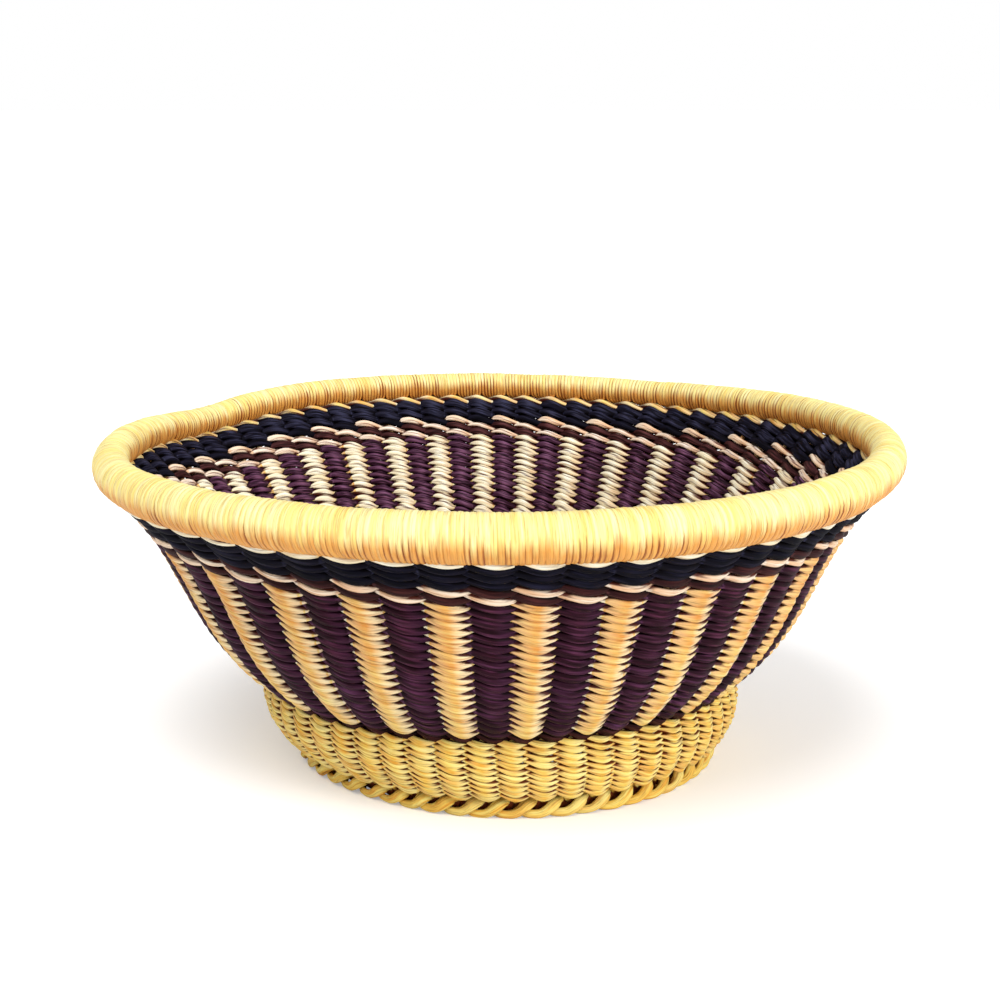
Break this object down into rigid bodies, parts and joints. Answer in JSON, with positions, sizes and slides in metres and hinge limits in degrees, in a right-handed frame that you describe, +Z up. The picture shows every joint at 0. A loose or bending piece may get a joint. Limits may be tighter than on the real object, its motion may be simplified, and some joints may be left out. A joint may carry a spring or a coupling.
{
  "type": "footed woven basket",
  "caption": "Round twined straw bowl basket with a bound rim, vertical natural and purple stripes, a navy band and a woven foot.",
  "frame": {"origin": "the middle of the foot, on the surface that the basket stands on", "axes": "+Z is up, along the basket's axis of roundness; +Y points to the back, where the stakes stand closest together, and +X is to the right, square to both"},
  "size_m": [0.3794, 0.3788, 0.1559],
  "materials": {
    "natural_straw": "undyed golden straw, split and twisted, satin",
    "purple_straw": "straw dyed dark aubergine, satin",
    "navy_straw": "straw dyed blue black, satin",
    "cream_straw": "pale bleached straw, satin",
    "stake_straw": "stiff undyed straw bundles, matte",
    "rim_core_grass": "bundled dry grass, matte, covered"
  },
  "bodies": {
    "root": {"bowl_stakes": "stake_straw", "floor_centre_knot": "natural_straw", "floor_strand_1": "natural_straw", "floor_strand_2": "natural_straw", "waist_strand": "purple_straw", "natural_stripe_strand_1": "natural_straw", "purple_stripe_strand_1": "purple_straw", "natural_stripe_strand_2": "natural_straw", "purple_stripe_strand_2": "purple_straw", "natural_stripe_strand_3": "natural_straw", "purple_stripe_strand_3": "purple_straw", "natural_stripe_strand_4": "natural_straw", "purple_stripe_strand_4": "purple_straw", "lower_cream_strand": "cream_straw", "upper_cream_strand": "cream_straw", "navy_strand_1": "navy_straw", "navy_strand_2": "navy_straw", "rim_strand": "cream_straw", "rim_core": "rim_core_grass", "rim_binding": "natural_straw", "foot_stakes_and_plaited_border": "natural_straw", "foot_strand_1": "natural_straw", "foot_strand_2": "natural_straw", "foot_strand_3": "natural_straw", "foot_strand_4": "natural_straw"}
  },
  "joints": []
}
